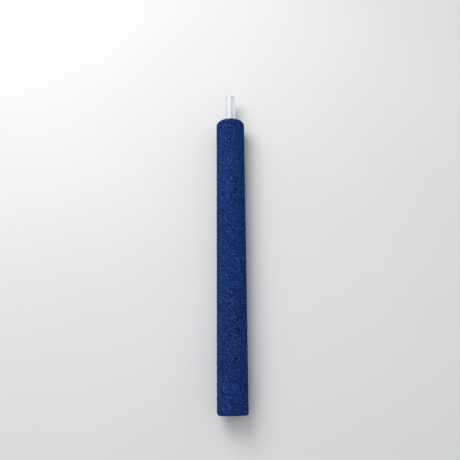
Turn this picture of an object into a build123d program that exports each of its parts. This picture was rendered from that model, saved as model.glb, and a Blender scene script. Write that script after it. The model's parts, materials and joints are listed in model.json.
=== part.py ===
from build123d import *
import os

# A stick air stone: a round porous stone with a blind air channel along its axis, and a
# plastic airline nozzle that is bonded into a socket in one end.
#
# Frame: the stone lies along Y with the nozzle towards +Y and rests on z = 0. The origin is
# under the middle of the whole length. Every piece is a revolved half section, drawn as
# (radius, y) on the horizontal plane that holds the stone's axis. A narrow flat footing along
# the stone's underside stands for the coarse grains that it rests on, which keep it from rolling.

# --- Driving dimensions, millimetres ------------------------------------------------------

stone_diameter = 15.0
stone_length = 150.0
stone_edge_radius = 1.5
channel_diameter = 4.0
closed_end_thickness = 8.0
footing_depth = 0.15

nozzle_exposed_length = 16.0
nozzle_diameter = 5.0
nozzle_bore = 2.0
tip_chamfer = 0.4
stop_ring_diameter = 6.6
stop_ring_thickness = 0.8
stem_length = 12.0
rib_diameter = 5.6
rib_width = 0.6
rib_pitch = 3.0
rib_count = 3

socket_diameter = 5.8
socket_clearance = 0.5
glue_film = 0.2
bead_diameter = 8.8
bead_height = 0.9
bead_sag = 0.18

# --- Worked out from those ----------------------------------------------------------------

stone_radius = stone_diameter / 2
nozzle_radius = nozzle_diameter / 2
bore_radius = nozzle_bore / 2
ring_radius = stop_ring_diameter / 2
socket_radius = socket_diameter / 2
bead_radius = bead_diameter / 2
axis_height = stone_radius - footing_depth

tip_y = (stone_length + nozzle_exposed_length) / 2
face_y = tip_y - nozzle_exposed_length
closed_y = face_y - stone_length
ring_y = face_y + glue_film
stem_y = face_y - stem_length
socket_y = stem_y - socket_clearance
channel_y = closed_y + closed_end_thickness

section_plane = Plane.XY.offset(axis_height)
stone_axis = Axis((0, 0, axis_height), (0, 1, 0))
corner = (Align.MIN, Align.MIN)

os.makedirs("parts", exist_ok=True)

# --- Stone: solid stick, rounded rims, nozzle socket, blind air channel and flat footing ---

with BuildPart() as stone_body:
    with BuildSketch(section_plane) as stone_section:
        with Locations((0, closed_y)):
            Rectangle(stone_radius, stone_length, align=corner)
        rim_corners = stone_section.vertices().group_by(Axis.X)[-1]
        fillet(rim_corners, stone_edge_radius)
        with Locations((0, channel_y)):
            Rectangle(channel_diameter / 2, face_y - channel_y, align=corner, mode=Mode.SUBTRACT)
        with Locations((0, socket_y)):
            Rectangle(socket_radius, face_y - socket_y, align=corner, mode=Mode.SUBTRACT)
    revolve(axis=stone_axis)
    split(bisect_by=Plane.XY, keep=Keep.TOP)

stone_body.part.label = "stone_body"
export_step(stone_body.part, "parts/stone_body.step")

# --- Nozzle: straight tube, stop ring over the socket's mouth, ribs on the buried stem ----

with BuildPart() as inlet_nozzle:
    with BuildSketch(section_plane) as nozzle_section:
        with Locations((bore_radius, stem_y)):
            Rectangle(nozzle_radius - bore_radius, tip_y - stem_y, align=corner)
        with Locations((bore_radius, ring_y)):
            Rectangle(ring_radius - bore_radius, stop_ring_thickness, align=corner)
        with Locations((bore_radius, stem_y + stem_length / 2)):
            with GridLocations(rib_pitch, rib_pitch, 1, rib_count):
                Rectangle(rib_diameter / 2 - bore_radius, rib_width, align=(Align.MIN, Align.CENTER))
        tip_corner = nozzle_section.vertices().group_by(Axis.Y)[-1].sort_by(Axis.X)[-1]
        chamfer(tip_corner, tip_chamfer)
    revolve(axis=stone_axis)

inlet_nozzle.part.label = "inlet_nozzle"
export_step(inlet_nozzle.part, "parts/inlet_nozzle.step")

# --- Adhesive: sleeve round the stem, film under the stop ring, hollow fillet outside -----

with BuildPart() as nozzle_adhesive:
    with BuildSketch(section_plane):
        with Locations((nozzle_radius, stem_y)):
            Rectangle(socket_radius - nozzle_radius, face_y - stem_y, align=corner)
        with BuildLine():
            foot = (bead_radius, face_y)
            crest = (ring_radius, face_y + bead_height)
            hollow = ((foot[0] + crest[0]) / 2 - bead_sag, (foot[1] + crest[1]) / 2 - bead_sag)
            ThreePointArc(foot, hollow, crest)
            Polyline(crest, (nozzle_radius, crest[1]), (nozzle_radius, face_y), foot)
        make_face()
    revolve(axis=stone_axis)
    add(inlet_nozzle.part, mode=Mode.SUBTRACT)

nozzle_adhesive.part.label = "nozzle_adhesive"
export_step(nozzle_adhesive.part, "parts/nozzle_adhesive.step")
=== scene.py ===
import json
import math
import random

import bmesh
import bpy
import numpy as np
from mathutils import Matrix, Vector, noise
from mathutils.kdtree import KDTree


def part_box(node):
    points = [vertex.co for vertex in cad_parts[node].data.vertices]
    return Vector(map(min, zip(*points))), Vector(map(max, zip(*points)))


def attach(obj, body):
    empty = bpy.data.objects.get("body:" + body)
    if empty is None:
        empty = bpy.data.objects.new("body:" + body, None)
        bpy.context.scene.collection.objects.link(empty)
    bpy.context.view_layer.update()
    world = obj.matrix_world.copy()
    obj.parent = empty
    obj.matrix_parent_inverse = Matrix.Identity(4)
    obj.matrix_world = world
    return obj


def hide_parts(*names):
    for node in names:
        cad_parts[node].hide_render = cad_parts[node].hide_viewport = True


# A stick air stone lying on a pale floor: blue bonded grains with open pores, a translucent
# airline nozzle, and the glue that holds it. Lengths are in metres.

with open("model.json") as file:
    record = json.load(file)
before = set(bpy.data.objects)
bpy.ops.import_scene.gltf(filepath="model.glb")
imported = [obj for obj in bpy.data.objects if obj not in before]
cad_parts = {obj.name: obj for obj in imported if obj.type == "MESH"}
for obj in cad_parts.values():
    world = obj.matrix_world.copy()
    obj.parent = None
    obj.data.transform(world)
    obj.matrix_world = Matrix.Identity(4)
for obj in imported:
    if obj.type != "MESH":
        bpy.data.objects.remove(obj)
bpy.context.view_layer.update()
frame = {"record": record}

MM = 0.001

# --- Places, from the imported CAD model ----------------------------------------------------

stone_low, stone_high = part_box("stone_body")
nozzle_low, nozzle_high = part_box("inlet_nozzle")
glue_low, glue_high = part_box("nozzle_adhesive")
mounts = {mount["name"]: mount for mount in frame["record"]["mounts"]}

STONE_RADIUS = mounts["holder_band"]["dims"]["r_mm"] * MM
NOZZLE_RADIUS = mounts["airline_spigot"]["dims"]["r_mm"] * MM
AXIS_Z = mounts["airline_spigot"]["pos_m"][2]
CLOSED_Y = stone_low.y
FACE_Y = stone_high.y
TIP_Y = nozzle_high.y
STEM_Y = nozzle_low.y
RING_RADIUS = (nozzle_high.x - nozzle_low.x) / 2
BEAD_RADIUS = (glue_high.x - glue_low.x) / 2
BEAD_TOP_Y = glue_high.y
RIM_RADIUS = (FACE_Y - CLOSED_Y - mounts["holder_band"]["dims"]["length_mm"] * MM) / 2

# Inner sizes that the frame's boxes don't give, as in the CAD model.
BORE_RADIUS = 1.0 * MM
SOCKET_RADIUS = 2.9 * MM
SOCKET_CLEARANCE = 0.5 * MM
CHANNEL_RADIUS = 2.0 * MM
CLOSED_THICKNESS = 8.0 * MM
TIP_CHAMFER = 0.4 * MM
RING_THICKNESS = 0.8 * MM
GLUE_FILM = 0.2 * MM
RIB_RADIUS = 2.8 * MM
RIB_WIDTH = 0.6 * MM
RIB_PITCH = 3.0 * MM
RIB_COUNT = 3

# --- Stone: grains, pores and chipped rims ------------------------------------------------

SEED = 7
MESH_STEP = 0.29 * MM
RING_POINTS = 160
FEWEST_RING_POINTS = 20
MESH_JITTER = 0.22
GRAIN_PITCH = 0.70 * MM
FEWEST_GRAINS = 3
GRAIN_JITTER = 0.55
GRAIN_RADII = (0.28 * MM, 0.52 * MM)
GRAIN_SINK = 0.16 * MM
GRAIN_BOND = 0.035 * MM
DEEPEST = 0.34 * MM
# Painted shade in the pores and between the grains reaches its darkest at this depth.
PAINTED_SHADE_DEPTH = 2 * DEEPEST
NEIGHBOURS = 6
PIT_COUNT = 340
PIT_RADII = (0.35 * MM, 1.05 * MM)
PIT_DEPTHS = (0.10 * MM, 0.34 * MM)
PIT_SQUASH = (0.6, 1.0)
PIT_BOWL = 1.5
WAVE_HEIGHT = 0.07 * MM
WAVE_LENGTH = 6.0 * MM
CHIP_DEPTH = 0.30 * MM
CHIP_LENGTH = 1.6 * MM
CHIP_REACH = 1.6 * RIM_RADIUS
CHIP_PLACE = Vector((9, 4, 2))
LEAST_WEAR = 0.4
SKIN = 0.012 * MM
SOAK_WIDTH = 0.9 * MM
SOAK_DEPTH = 1.2 * MM


def arc(centre_r, centre_y, radius, start, end, steps):
    """(radius, y, normal radius, normal y) along a quarter turn of a rim, ends left out."""
    points = []
    for i in range(1, steps):
        turn = start + (end - start) * i / steps
        out_r, out_y = math.cos(turn), math.sin(turn)
        points.append((centre_r + radius * out_r, centre_y + radius * out_y, out_r, out_y))
    return points


def run(start, end, normal, step):
    """(radius, y, normal radius, normal y) along a straight stretch, both ends kept."""
    length = math.dist(start, end)
    steps = max(1, round(length / step))
    return [
        (start[0] + (end[0] - start[0]) * i / steps, start[1] + (end[1] - start[1]) * i / steps, *normal)
        for i in range(steps + 1)
    ]


def stone_skin():
    """The outer half section, from the middle of the closed end to the socket's mouth."""
    flat = STONE_RADIUS - RIM_RADIUS
    rim_steps = round(math.pi / 2 * RIM_RADIUS / MESH_STEP)
    quarter = math.pi / 2
    return (
        run((MESH_STEP, CLOSED_Y), (flat, CLOSED_Y), (0, -1), MESH_STEP)
        + arc(flat, CLOSED_Y + RIM_RADIUS, RIM_RADIUS, -quarter, 0, rim_steps)
        + run((STONE_RADIUS, CLOSED_Y + RIM_RADIUS), (STONE_RADIUS, FACE_Y - RIM_RADIUS), (1, 0), MESH_STEP)
        + arc(flat, FACE_Y - RIM_RADIUS, RIM_RADIUS, 0, quarter, rim_steps)
        + run((flat, FACE_Y), (SOCKET_RADIUS, FACE_Y), (0, 1), MESH_STEP)
    )


def stone_hollow():
    """The socket and the air channel, from the socket's floor to the channel's blind end."""
    socket_y = STEM_Y - SOCKET_CLEARANCE
    channel_y = CLOSED_Y + CLOSED_THICKNESS
    return [
        (SOCKET_RADIUS, socket_y, 0, 0),
        (CHANNEL_RADIUS, socket_y, 0, 0),
        (CHANNEL_RADIUS, channel_y, 0, 0),
    ]


def ring_points(radius):
    """Points round a ring: halved as the radius halves, so that the spacing stays even."""
    count = RING_POINTS
    while count > FEWEST_RING_POINTS and radius < STONE_RADIUS * count / RING_POINTS / 2:
        count //= 2
    return count


def around(radius, y, turn):
    return Vector((radius * math.cos(turn), y, AXIS_Z + radius * math.sin(turn)))


def grains(skin, rng):
    """One entry for each grain: its place on the skin, its radius, how deep it sits, its tone."""
    found = []
    travelled, last = 0.0, skin[0]
    for station in skin:
        travelled += math.dist(station[:2], last[:2])
        last = station
        if travelled < GRAIN_PITCH:
            continue
        travelled -= GRAIN_PITCH
        count = max(FEWEST_GRAINS, round(2 * math.pi * station[0] / GRAIN_PITCH))
        phase = rng.random()
        for i in range(count):
            turn = 2 * math.pi * (i + phase + rng.uniform(-GRAIN_JITTER, GRAIN_JITTER)) / count
            slide = rng.uniform(-GRAIN_JITTER, GRAIN_JITTER) * GRAIN_PITCH
            along = Vector((-station[3] * math.cos(turn), station[2], -station[3] * math.sin(turn)))
            place = around(station[0], station[1], turn) + along * slide
            radius = rng.uniform(*GRAIN_RADII)
            sink = rng.random() ** 2 * GRAIN_SINK
            found.append((place, radius, sink, rng.random()))
    return found


def tree_of(places):
    tree = KDTree(len(places))
    for i, place in enumerate(places):
        tree.insert(place, i)
    tree.balance()
    return tree


def relief(points, skin, rng):
    """How far each point of the skin sinks, and the tone of the grain that it lies on."""
    found = grains(skin, rng)
    tree = tree_of([grain[0] for grain in found])
    radii = np.array([grain[1] for grain in found])
    sinks = np.array([grain[2] for grain in found])
    tones = np.array([grain[3] for grain in found])
    near = [tree.find_n(point, NEIGHBOURS) for point in points]
    which = np.array([[hit[1] for hit in hits] for hits in near])
    away = np.array([[hit[2] for hit in hits] for hits in near])
    caps = np.sqrt(np.maximum(radii[which] ** 2 - away ** 2, 0)) - radii[which] - sinks[which]
    caps = np.maximum(caps, -DEEPEST)
    top = GRAIN_BOND * np.log(np.exp(caps / GRAIN_BOND).sum(axis=1))
    leading = which[np.arange(len(points)), caps.argmax(axis=1)]
    return top, tones[leading]


def pits(points, rng):
    """How much deeper the open pores are at each point."""
    tree = tree_of(points)
    deeper = np.zeros(len(points))
    for _ in range(PIT_COUNT):
        centre = rng.choice(points)
        size = rng.uniform(*PIT_RADII)
        depth = rng.uniform(*PIT_DEPTHS)
        squash = rng.uniform(*PIT_SQUASH)
        for place, i, _ in tree.find_range(centre, size):
            offset = place - centre
            offset.y *= squash
            share = min(1.0, offset.length / size)
            deeper[i] = max(deeper[i], depth * (1 - share ** 2) ** PIT_BOWL)
    return deeper


def closed_solid(name, vertices, faces):
    """A mesh object from points and faces, with its faces turned outwards."""
    mesh = bpy.data.meshes.new(name)
    mesh.from_pydata([tuple(v) for v in vertices], [], faces)
    made = bmesh.new()
    made.from_mesh(mesh)
    bmesh.ops.recalc_face_normals(made, faces=made.faces)
    made.to_mesh(mesh)
    made.free()
    mesh.shade_smooth()
    piece = bpy.data.objects.new(name, mesh)
    bpy.context.scene.collection.objects.link(piece)
    return piece


def bridge(faces, first, second):
    """Faces between two rings of vertex numbers: quads, or triangles where one has half as many."""
    a, b = (first, second) if len(first) >= len(second) else (second, first)
    if len(a) == len(b):
        for i in range(len(a)):
            j = (i + 1) % len(a)
            faces.append((a[i], a[j], b[j], b[i]))
        return
    for i in range(len(b)):
        j = (i + 1) % len(b)
        left, middle, right = a[2 * i], a[2 * i + 1], a[(2 * i + 2) % len(a)]
        faces.append((left, middle, b[i]))
        faces.append((middle, b[j], b[i]))
        faces.append((middle, right, b[j]))


def make_stone():
    rng = random.Random(SEED)
    skin = stone_skin()
    rings, places, normals, skin_numbers = [], [], [], []
    stations = skin + stone_hollow()
    for number, (radius, y, normal_r, normal_y) in enumerate(stations):
        count = ring_points(radius)
        on_skin = number < len(skin) - 1
        rings.append(list(range(len(places), len(places) + count)))
        for i in range(count):
            turn = 2 * math.pi * i / count
            shift = Vector((0, 0, 0))
            if on_skin and number > 0:
                turn += 2 * math.pi * rng.uniform(-MESH_JITTER, MESH_JITTER) / count
                slide = rng.uniform(-MESH_JITTER, MESH_JITTER) * MESH_STEP
                shift = Vector((-normal_y * math.cos(turn), normal_r, -normal_y * math.sin(turn))) * slide
            if on_skin:
                skin_numbers.append(len(places))
            places.append(around(radius, y, turn) + shift)
            normals.append(Vector((normal_r * math.cos(turn), normal_y, normal_r * math.sin(turn))))
    faces = []
    for first, second in zip(rings, rings[1:]):
        bridge(faces, first, second)
    for ring, y in ((rings[0], CLOSED_Y), (rings[-1], CLOSED_Y + CLOSED_THICKNESS)):
        centre = len(places)
        places.append(Vector((0, y, AXIS_Z)))
        normals.append(Vector((0, -1, 0)) if ring is rings[0] else Vector((0, 0, 0)))
        if ring is rings[0]:
            skin_numbers.append(centre)
        for i in range(len(ring)):
            faces.append((ring[i], ring[(i + 1) % len(ring)], centre))

    points = [places[i] for i in skin_numbers]
    height, tone = relief(points, skin, rng)
    height = height - pits(points, rng)
    wear, soak = np.zeros(len(points)), np.zeros(len(points))
    for i, point in enumerate(points):
        off_axis = math.hypot(point.x, point.z - AXIS_Z)
        end_gap = min(point.y - CLOSED_Y, FACE_Y - point.y)
        rim = max(0.0, 1 - math.hypot(STONE_RADIUS - off_axis, end_gap) / CHIP_REACH)
        wave = noise.noise(point / WAVE_LENGTH)
        chip = max(0.0, noise.noise(point / CHIP_LENGTH + CHIP_PLACE))
        height[i] += WAVE_HEIGHT * (wave - 1) / 2 - CHIP_DEPTH * chip * rim
        wear[i] = rim * (LEAST_WEAR + (1 - LEAST_WEAR) * abs(wave))
        reach = (off_axis - BEAD_RADIUS) / SOAK_WIDTH + (FACE_Y - point.y) / SOAK_DEPTH + chip
        soak[i] = min(1.0, max(0.0, 1 - reach))
    height = height - height.max() - SKIN

    # The grains that the stone rests on stop just above the floor, which leaves the flat footing.
    for i, number in enumerate(skin_numbers):
        places[number] = places[number] + normals[number] * height[i]
        places[number].z = max(places[number].z, SKIN)
    piece = closed_solid("porous_stone", places, faces)
    # The depth mask drives painted shade: the stone's colour darkens in its pores and between its grains.
    depth = np.minimum(1.0, -height / PAINTED_SHADE_DEPTH)
    for name, values in (("depth", depth), ("tone", tone), ("wear", wear), ("soak", soak)):
        all_values = np.zeros(len(places), dtype=np.float32)
        all_values[skin_numbers] = values
        piece.data.attributes.new(name, "FLOAT", "POINT").data.foreach_set("value", all_values)
    return piece


# --- Nozzle and glue ----------------------------------------------------------------------

NOZZLE_POINTS = 96
EDGE = 0.12 * MM
SEAM_HEIGHT = 0.035 * MM
SEAM_HALF_ANGLE = 0.05
BEAD_SAG = 0.09 * MM
BEAD_RAGGED = 0.26 * MM
BEAD_LIP = 0.14 * MM
BEAD_STEPS = 10
LIP_STEPS = 5
CORNER_STEPS = 4
WANDER_TURNS = (1.4, 4.5)
WANDER_SHARES = (1.0, 0.4)
WANDER_PLACE = 0.3
MOST_CUT = 0.45


def rounded(corners, radius):
    """A closed outline with each corner turned into a small curve."""
    outline = []
    for i, corner in enumerate(corners):
        before, here, after = (Vector(corners[j % len(corners)]) for j in (i - 1, i, i + 1))
        cut = min(radius, (before - here).length * MOST_CUT, (after - here).length * MOST_CUT)
        start = here + (before - here).normalized() * cut
        end = here + (after - here).normalized() * cut
        for step in range(CORNER_STEPS + 1):
            share = step / CORNER_STEPS
            outline.append((1 - share) ** 2 * start + 2 * share * (1 - share) * here + share ** 2 * end)
    return outline


def stem_outline():
    """The buried stem's outside, from its bottom to the underside of the stop ring."""
    middle = (STEM_Y + FACE_Y) / 2
    points = [(NOZZLE_RADIUS, STEM_Y)]
    for i in range(RIB_COUNT):
        rib_y = middle + RIB_PITCH * (i - (RIB_COUNT - 1) / 2)
        low, high = rib_y - RIB_WIDTH / 2, rib_y + RIB_WIDTH / 2
        points += [(NOZZLE_RADIUS, low), (RIB_RADIUS, low), (RIB_RADIUS, high), (NOZZLE_RADIUS, high)]
    return points + [(NOZZLE_RADIUS, FACE_Y + GLUE_FILM)]


def turned(name, outline, count, reshape):
    """A closed outline of (radius, y) turned round the stone's axis. reshape moves each point."""
    vertices, rings, faces = [], [], []
    for radius, y in outline:
        rings.append(list(range(len(vertices), len(vertices) + count)))
        for i in range(count):
            turn = 2 * math.pi * i / count
            vertices.append(around(*reshape(radius, y, turn), turn))
    for first, second in zip(rings, rings[1:] + rings[:1]):
        bridge(faces, first, second)
    return closed_solid(name, vertices, faces)


def make_nozzle():
    ring_top = FACE_Y + GLUE_FILM + RING_THICKNESS
    corners = stem_outline() + [
        (RING_RADIUS, FACE_Y + GLUE_FILM),
        (RING_RADIUS, ring_top),
        (NOZZLE_RADIUS, ring_top),
        (NOZZLE_RADIUS, TIP_Y - TIP_CHAMFER),
        (NOZZLE_RADIUS - TIP_CHAMFER, TIP_Y),
        (BORE_RADIUS, TIP_Y),
        (BORE_RADIUS, STEM_Y),
    ]

    def seam(radius, y, turn):
        """The two halves of the mould leave a fine raised line down each side of the spigot."""
        if y < ring_top or radius < NOZZLE_RADIUS - TIP_CHAMFER - EDGE:
            return radius, y
        off = abs(math.remainder(turn, math.pi)) / SEAM_HALF_ANGLE
        return radius - SEAM_HEIGHT * min(1.0, off), y

    return turned("airline_nozzle", rounded(corners, EDGE), NOZZLE_POINTS, seam)


def make_glue():
    foot = Vector((BEAD_RADIUS - BEAD_RAGGED, FACE_Y - DEEPEST))
    lip = Vector((foot.x - BEAD_LIP / 2, FACE_Y + BEAD_LIP))
    crest = Vector((RING_RADIUS, BEAD_TOP_Y))
    bead = []
    for i in range(LIP_STEPS):
        turn = math.pi / 2 * i / LIP_STEPS
        out, up = (foot.x - lip.x) * math.cos(turn), (lip.y - foot.y) * math.sin(turn)
        bead.append(Vector((lip.x + out, foot.y + up)))
    for i in range(BEAD_STEPS + 1):
        share = i / BEAD_STEPS
        bead.append(lip.lerp(crest, share) - Vector((1, 1)) * BEAD_SAG * 4 * share * (1 - share))
    under_ring = [(RING_RADIUS, FACE_Y + GLUE_FILM)]
    sleeve = [(SOCKET_RADIUS, STEM_Y), (SOCKET_RADIUS, FACE_Y - DEEPEST)]
    outline = [*sleeve, *bead, *under_ring, *reversed(stem_outline())]

    def ragged(radius, y, turn):
        """The glue's foot wanders, and its fillet is fuller in some places than in others."""
        if radius <= RING_RADIUS or y < FACE_Y - DEEPEST - EDGE:
            return radius, y
        place = Vector((math.cos(turn), math.sin(turn), WANDER_PLACE))
        wander = sum(part * noise.noise(place * turns) for turns, part in zip(WANDER_TURNS, WANDER_SHARES))
        share = (radius - RING_RADIUS) / (BEAD_RADIUS - RING_RADIUS)
        return radius + share * wander * BEAD_RAGGED, y

    return turned("glue_fillet", outline, NOZZLE_POINTS, ragged)


# --- Materials ----------------------------------------------------------------------------

# Texture scales are in cells for each metre, and colours are linear light.
PALE_FLECK = (0.100, 0.160, 0.440)
WORN_BLUE = (0.014, 0.046, 0.18)
MOST_WORN = 0.35
SOAKED_TINT = (0.45, 0.50, 0.58)
SOAKED_ROUGH = (0.35, 0.35, 0.35)
PITTING_SHARE = 0.35

# Where Blender's Mix node keeps its colour sockets.
MIX_INPUTS = (0, 6, 7)
MIX_RESULT = 2


def new_material(name):
    """A node material, its tree and its Principled node."""
    material = bpy.data.materials.new(name)
    material.use_nodes = True
    tree = material.node_tree
    return material, tree, tree.nodes["Principled BSDF"]


def node(tree, kind, inputs=None, **settings):
    """A new node with its settings, and its inputs as plain values or links."""
    made = tree.nodes.new("ShaderNode" + kind)
    for name, value in settings.items():
        setattr(made, name, value)
    for name, value in (inputs or {}).items():
        if isinstance(value, bpy.types.NodeSocket):
            tree.links.new(value, made.inputs[name])
        else:
            made.inputs[name].default_value = value
    return made


def ramp(tree, factor, stops):
    """A colour ramp. stops are (place, colour), with a grey given as one number."""
    made = node(tree, "ValToRGB", {"Fac": factor})
    band = made.color_ramp
    while len(band.elements) < len(stops):
        band.elements.new(0.5)
    for element, (place, colour) in zip(band.elements, stops):
        element.position = place
        element.color = (colour,) * 3 + (1,) if isinstance(colour, float) else (*colour, 1)
    return made.outputs["Color"]


def blend(tree, kind, factor, a, b):
    """A colour mix of a and b."""
    made = node(tree, "Mix", data_type="RGBA", blend_type=kind)
    for number, value in zip(MIX_INPUTS, (factor, a, b)):
        socket = made.inputs[number]
        if isinstance(value, bpy.types.NodeSocket):
            tree.links.new(value, socket)
        else:
            socket.default_value = (*value, 1) if isinstance(value, tuple) else value
    return made.outputs[MIX_RESULT]


def stone_material():
    material, tree, shader = new_material("blue_bonded_grains")
    place = node(tree, "TexCoord").outputs["Object"]
    tone = node(tree, "Attribute", attribute_name="tone").outputs["Fac"]
    depth = node(tree, "Attribute", attribute_name="depth").outputs["Fac"]
    wear = node(tree, "Attribute", attribute_name="wear").outputs["Fac"]
    soak = node(tree, "Attribute", attribute_name="soak").outputs["Fac"]
    fine = node(tree, "TexVoronoi", {"Vector": place, "Scale": 2300.0, "Randomness": 1.0})
    cells = node(tree, "SeparateColor", {"Color": fine.outputs["Color"]})
    cloud = node(tree, "TexNoise", {"Vector": place, "Scale": 90.0, "Detail": 3.0}).outputs["Fac"]

    coarse_colour = ramp(tree, tone, [
        (0.0, (0.0074, 0.0350, 0.190)),
        (0.50, (0.0090, 0.0405, 0.215)),
        (0.88, (0.0110, 0.0470, 0.240)),
        (0.96, (0.0210, 0.0690, 0.285)),
        (1.0, (0.0430, 0.1050, 0.350)),
    ])
    fine_colour = ramp(tree, cells.outputs["Red"], [
        (0.0, (0.42, 0.46, 0.54)),
        (0.35, (0.90, 0.91, 0.93)),
        (1.0, (1.18, 1.14, 1.08)),
    ])
    colour = blend(tree, "MULTIPLY", 1.0, coarse_colour, fine_colour)
    pale_cell = ramp(tree, cells.outputs["Red"], [(0.80, 0.0), (0.90, 1.0)])
    middle = ramp(tree, fine.outputs["Distance"], [(0.25, 1.0), (0.60, 0.0)])
    pale_grain = blend(tree, "MULTIPLY", 1.0, pale_cell, middle)
    colour = blend(tree, "MIX", pale_grain, colour, PALE_FLECK)
    colour = blend(tree, "MULTIPLY", 1.0, colour, ramp(tree, cloud, [(0.3, 0.93), (0.7, 1.06)]))
    # Painted shade: the colour darkens with depth in the pores and between the grains.
    colour = blend(tree, "MULTIPLY", 1.0, colour, ramp(tree, depth, [(0.12, 1.0), (0.60, 0.34)]))
    pale = node(tree, "Math", {0: wear, 1: MOST_WORN}, operation="MULTIPLY").outputs[0]
    colour = blend(tree, "MIX", pale, colour, WORN_BLUE)
    colour = blend(tree, "MULTIPLY", soak, colour, SOAKED_TINT)
    tree.links.new(colour, shader.inputs["Base Color"])

    rough = ramp(tree, cells.outputs["Green"], [(0.0, 0.97), (0.90, 0.80), (0.97, 0.42)])
    rough = blend(tree, "MIX", soak, rough, SOAKED_ROUGH)
    tree.links.new(rough, shader.inputs["Roughness"])
    shader.inputs["Specular IOR Level"].default_value = 0.1

    grit = node(tree, "Math", {0: 1.0, 1: fine.outputs["Distance"]}, operation="SUBTRACT").outputs[0]
    pitted = node(tree, "TexNoise", {"Vector": place, "Scale": 6500.0, "Detail": 2.0}).outputs["Fac"]
    height = node(tree, "Math", {0: pitted, 1: PITTING_SHARE, 2: grit}, operation="MULTIPLY_ADD").outputs[0]
    bump = node(tree, "Bump", {"Height": height, "Strength": 0.75, "Distance": 0.12 * MM})
    tree.links.new(bump.outputs["Normal"], shader.inputs["Normal"])
    return material


def nozzle_material():
    material, tree, shader = new_material("translucent_moulded_plastic")
    place = node(tree, "TexCoord").outputs["Object"]
    cloud = node(tree, "TexNoise", {"Vector": place, "Scale": 260.0, "Detail": 4.0}).outputs["Fac"]
    colour = ramp(tree, cloud, [(0.3, (0.90, 0.95, 0.98)), (0.7, (0.94, 0.975, 1.0))])
    tree.links.new(colour, shader.inputs["Base Color"])
    drawn = node(tree, "Mapping", {"Vector": place, "Scale": (1.0, 0.06, 1.0)}).outputs["Vector"]
    lines = node(tree, "TexNoise", {"Vector": drawn, "Scale": 1800.0, "Detail": 3.0}).outputs["Fac"]
    tree.links.new(ramp(tree, lines, [(0.35, 0.05), (0.7, 0.16)]), shader.inputs["Roughness"])
    shader.inputs["Transmission Weight"].default_value = 0.72
    shader.inputs["IOR"].default_value = 1.5
    bump = node(tree, "Bump", {"Height": lines, "Strength": 0.03, "Distance": 0.02 * MM})
    tree.links.new(bump.outputs["Normal"], shader.inputs["Normal"])
    return material


def glue_material():
    material, tree, shader = new_material("set_clear_glue")
    place = node(tree, "TexCoord").outputs["Object"]
    cloud = node(tree, "TexNoise", {"Vector": place, "Scale": 700.0, "Detail": 4.0}).outputs["Fac"]
    colour = ramp(tree, cloud, [(0.3, (0.82, 0.85, 0.87)), (0.7, (0.93, 0.95, 0.95))])
    tree.links.new(colour, shader.inputs["Base Color"])
    tree.links.new(ramp(tree, cloud, [(0.3, 0.10), (0.7, 0.25)]), shader.inputs["Roughness"])
    shader.inputs["Transmission Weight"].default_value = 0.82
    shader.inputs["IOR"].default_value = 1.48
    bump = node(tree, "Bump", {"Height": cloud, "Strength": 0.4, "Distance": 0.08 * MM})
    tree.links.new(bump.outputs["Normal"], shader.inputs["Normal"])
    return material


def floor_material():
    material, tree, shader = new_material("pale_floor")
    place = node(tree, "TexCoord").outputs["Object"]
    cloud = node(tree, "TexNoise", {"Vector": place, "Scale": 9.0, "Detail": 3.0}).outputs["Fac"]
    colour = ramp(tree, cloud, [(0.3, (0.74, 0.74, 0.735)), (0.7, (0.77, 0.77, 0.765))])
    tree.links.new(colour, shader.inputs["Base Color"])
    shader.inputs["Roughness"].default_value = 0.85
    return material


# --- The pieces ---------------------------------------------------------------------------

for piece, cad_node, slot, material in (
    (make_stone(), "stone_body", "porous_stone", stone_material()),
    (make_nozzle(), "inlet_nozzle", "nozzle_plastic", nozzle_material()),
    (make_glue(), "nozzle_adhesive", "clear_adhesive", glue_material()),
):
    piece.data.materials.append(material)
    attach(piece, "root")
    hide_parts(cad_node)

# --- Floor, light and camera --------------------------------------------------------------

FLOOR_HALF = 1.5
ELEVATION = math.radians(72.0)
ROLL = math.radians(-0.46)
LENS = 47.6
EYE = Vector((-0.0006, -0.0880, 0.3000))

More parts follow.
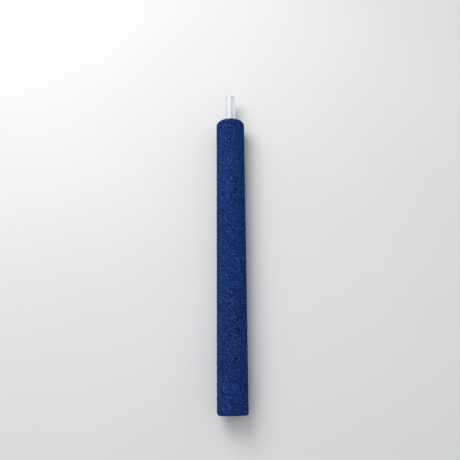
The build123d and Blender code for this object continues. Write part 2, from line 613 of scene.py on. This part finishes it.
KEY_PLACE = (-0.15, 0.22, 0.29)
KEY_AIM = (0, 0.05, 0)
KEY_SIZE = 0.28
KEY_WATTS = 0.80
SUN_PLACE = (-0.50, 0.45, 1.00)
SUN_STRENGTH = 0.70
SUN_WIDTH = math.radians(60)
STUDIO_COLOURS = [(0.0, (0.56, 0.57, 0.58)), (0.60, (0.48, 0.49, 0.505))]

floor_mesh = bpy.data.meshes.new("floor")
floor_corners = [(x * FLOOR_HALF, y * FLOOR_HALF, 0) for x, y in ((-1, -1), (1, -1), (1, 1), (-1, 1))]
floor_mesh.from_pydata(floor_corners, [], [(0, 1, 2, 3)])
floor = bpy.data.objects.new("floor", floor_mesh)
bpy.context.scene.collection.objects.link(floor)
floor_mesh.materials.append(floor_material())


def lamp(name, kind, place, target, strength, **settings):
    """A light at a place, aimed at a target. The strength is in watts, or watts per m2 for a sun."""
    data = bpy.data.lights.new(name, kind)
    data.energy = strength
    for setting, value in settings.items():
        setattr(data, setting, value)
    made = bpy.data.objects.new(name, data)
    made.location = place
    made.rotation_euler = (Vector(target) - Vector(place)).to_track_quat("-Z", "Y").to_euler()
    bpy.context.scene.collection.objects.link(made)


lamp("key", "AREA", KEY_PLACE, KEY_AIM, KEY_WATTS, shape="DISK", size=KEY_SIZE)
lamp("soft_sun", "SUN", SUN_PLACE, (0, 0, 0), SUN_STRENGTH, angle=SUN_WIDTH)

# The studio is palest at floor level, so that the line where it meets the floor stays faint.
world = bpy.data.worlds.new("studio")
world.use_nodes = True
studio = world.node_tree
upwards = node(studio, "SeparateXYZ", {"Vector": node(studio, "TexCoord").outputs["Generated"]}).outputs["Z"]
studio_colour = ramp(studio, upwards, STUDIO_COLOURS)
studio.links.new(studio_colour, studio.nodes["Background"].inputs["Color"])
bpy.context.scene.world = world
bpy.context.scene.view_settings.view_transform = "Standard"

camera = bpy.data.objects.new("camera", bpy.data.cameras.new("camera"))
camera.data.lens = LENS
camera.data.clip_start = 0.01
look = Vector((0, math.cos(ELEVATION), -math.sin(ELEVATION)))
turn = look.to_track_quat("-Z", "Y").to_matrix().to_4x4() @ Matrix.Rotation(ROLL, 4, "Z")
camera.matrix_world = Matrix.Translation(EYE) @ turn
bpy.context.scene.collection.objects.link(camera)
bpy.context.scene.camera = camera
